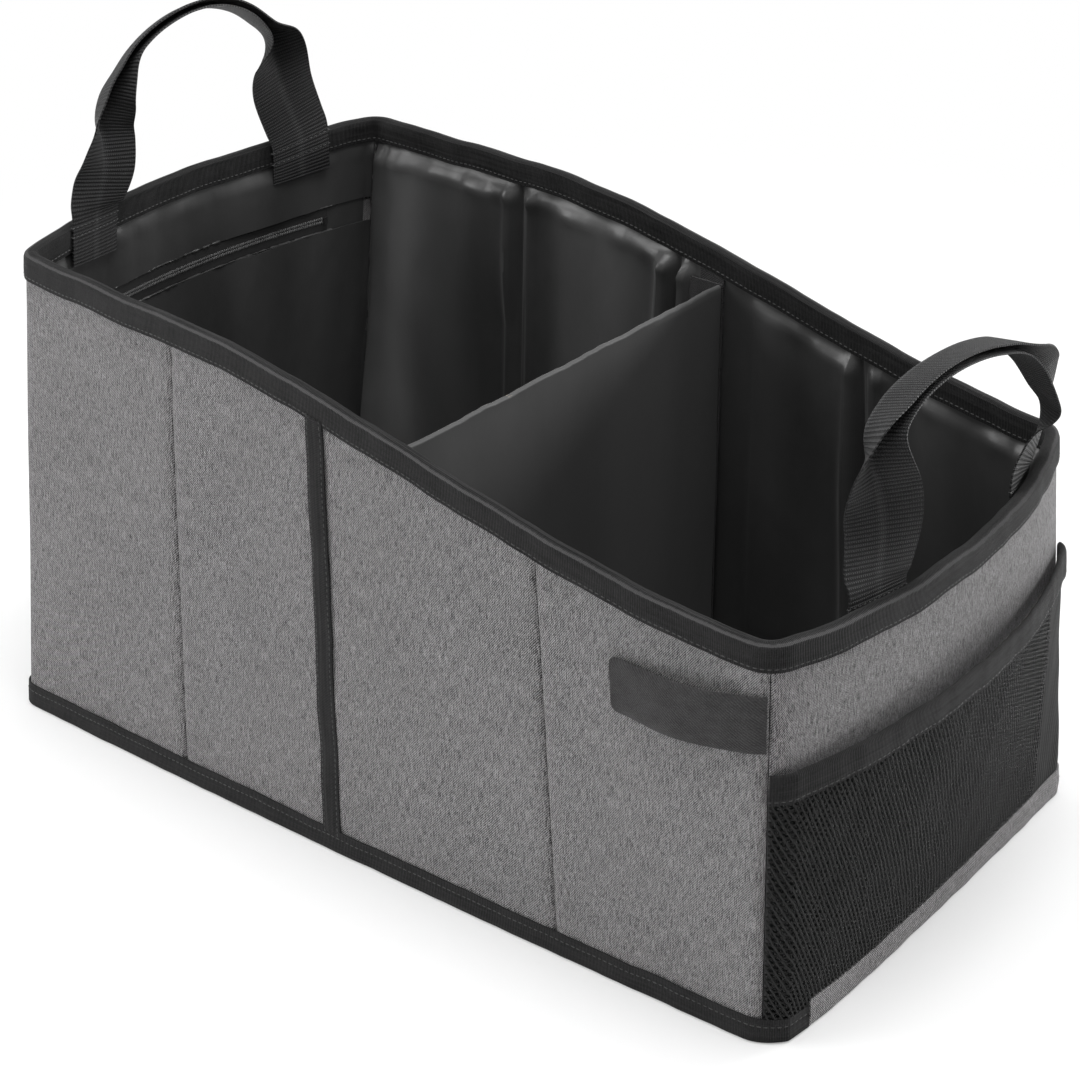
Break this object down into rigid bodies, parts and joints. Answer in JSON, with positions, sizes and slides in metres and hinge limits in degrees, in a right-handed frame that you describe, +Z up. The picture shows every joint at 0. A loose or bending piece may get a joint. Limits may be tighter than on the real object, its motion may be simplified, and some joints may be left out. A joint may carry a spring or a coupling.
{
  "type": "collapsible back seat organizer",
  "caption": "Soft-sided organizer box for a car's back seat or boot, with a sloping rim, webbing handles, a lift-out divider, an outside mesh pocket, a zipped inside pocket and a closing strap.",
  "frame": {"origin": "middle of the base, on the underside of the base cover", "axes": "+X from the tall rear end to the low front end with the mesh pocket, +Y from the near long wall with the closing strap to the far long wall, +Z up"},
  "size_m": [0.5177, 0.2925, 0.3558],
  "materials": {
    "heather_fabric": "heathered grey woven polyester",
    "stiffener_board": "plain grey-brown board",
    "lining_taffeta": "thin black polyester with a soft sheen",
    "binding_tape": "dark grey ribbed grosgrain",
    "pocket_netting": "dark knitted netting with oval holes",
    "zip_tape": "black woven tape with a nylon coil",
    "zip_metal": "black painted zinc",
    "handle_webbing": "dark grey ribbed webbing",
    "hook_and_loop": "dark matt hook and loop tape"
  },
  "bodies": {
    "case": {"near_rear_outer_panel": "heather_fabric", "near_front_outer_panel": "heather_fabric", "front_outer_panel": "heather_fabric", "far_front_outer_panel": "heather_fabric", "far_rear_outer_panel": "heather_fabric", "rear_outer_panel": "heather_fabric", "base_cover": "heather_fabric", "front_bottom_strip": "heather_fabric", "near_wall_board_1": "stiffener_board", "near_wall_board_2": "stiffener_board", "near_wall_board_3": "stiffener_board", "near_wall_board_4": "stiffener_board", "far_wall_board_1": "stiffener_board", "far_wall_board_2": "stiffener_board", "far_wall_board_3": "stiffener_board", "far_wall_board_4": "stiffener_board", "front_wall_board": "stiffener_board", "rear_wall_board": "stiffener_board", "rear_base_board": "stiffener_board", "front_base_board": "stiffener_board", "near_lining": "lining_taffeta", "front_lining": "lining_taffeta", "far_lining": "lining_taffeta", "floor_lining": "lining_taffeta", "rear_upper_lining": "lining_taffeta", "zip_pocket_front": "lining_taffeta", "zip_pocket_back": "lining_taffeta", "rim_binding": "binding_tape", "bottom_binding": "binding_tape", "near_centre_binding": "binding_tape", "far_centre_binding": "binding_tape", "mesh_pocket_binding": "binding_tape", "mesh_pocket": "pocket_netting", "zip_upper_tape": "zip_tape", "zip_lower_tape": "zip_tape", "zip_near_stop": "zip_metal", "zip_far_stop": "zip_metal", "rear_handle": "handle_webbing", "front_handle": "handle_webbing", "near_loop_strip": "hook_and_loop", "far_loop_strip": "hook_and_loop", "closing_strap": "hook_and_loop", "closing_strap_hook_patch": "hook_and_loop"},
    "zip_slider_body": {"zip_slider": "zip_metal", "zip_slider_crown": "zip_metal"},
    "zip_pull_body": {"zip_pull": "zip_metal"},
    "divider": {"divider_sleeve": "lining_taffeta", "divider_board": "stiffener_board", "divider_near_flap": "hook_and_loop", "divider_far_flap": "hook_and_loop"}
  },
  "joints": [
    {"name": "zip_slider_run", "type": "hinge", "parent": "case", "child": "zip_slider_body", "pos_m": [0.21216, 0.00857, 0.204], "axis": [0, 0, -1], "range_deg": [0, 22]},
    {"name": "zip_pull_swing", "type": "hinge", "parent": "zip_slider_body", "child": "zip_pull_body", "pos_m": [-0.23162, -0.07529, 0.204], "axis": [0, 0, -1], "range_deg": [0, 150]},
    {"name": "divider_lift", "type": "slide", "parent": "case", "child": "divider", "axis": [0, 0, 1], "range_m": [0, 0.23]}
  ]
}
